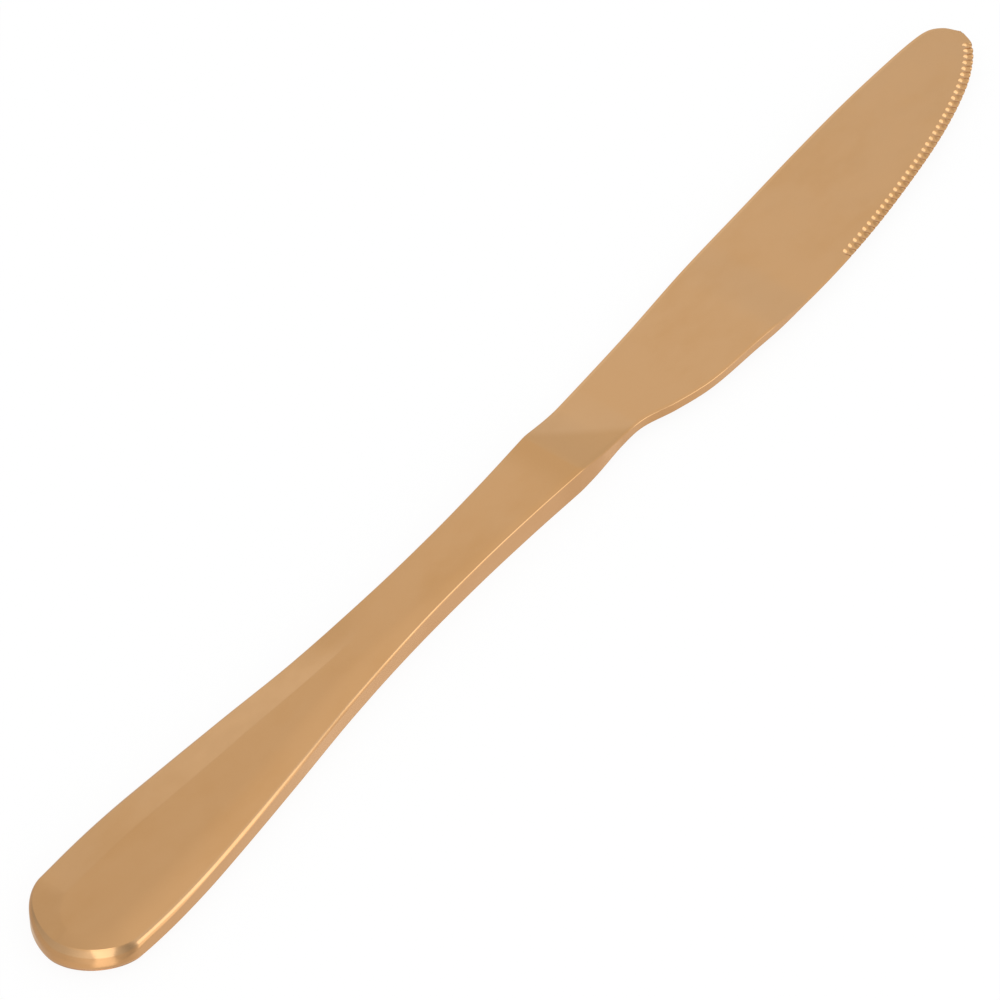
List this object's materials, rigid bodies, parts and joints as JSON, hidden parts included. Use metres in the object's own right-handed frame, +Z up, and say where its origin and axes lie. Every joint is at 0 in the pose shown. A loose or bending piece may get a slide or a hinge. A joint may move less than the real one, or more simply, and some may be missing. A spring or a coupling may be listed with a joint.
{
  "type": "table knife",
  "caption": "Slim metal table knife with a flat hollow handle, a short ramp down to a thin blade, a round tip and a finely toothed cutting edge.",
  "frame": {"origin": "middle of the flat underside of the handle, half way between the butt and the joint with the blade, the knife lying on its side", "axes": "+X from the butt to the tip, +Y towards the spine of the blade, +Z up out of the surface that the knife lies on"},
  "size_m": [0.2288, 0.0201, 0.0048],
  "materials": {
    "coated_steel": "satin copper-gold coating on stainless steel",
    "handle_cement": "matt set cement"
  },
  "bodies": {
    "root": {"blade": "coated_steel", "handle_upper_shell": "coated_steel", "handle_lower_shell": "coated_steel", "handle_filler": "handle_cement"}
  },
  "joints": []
}
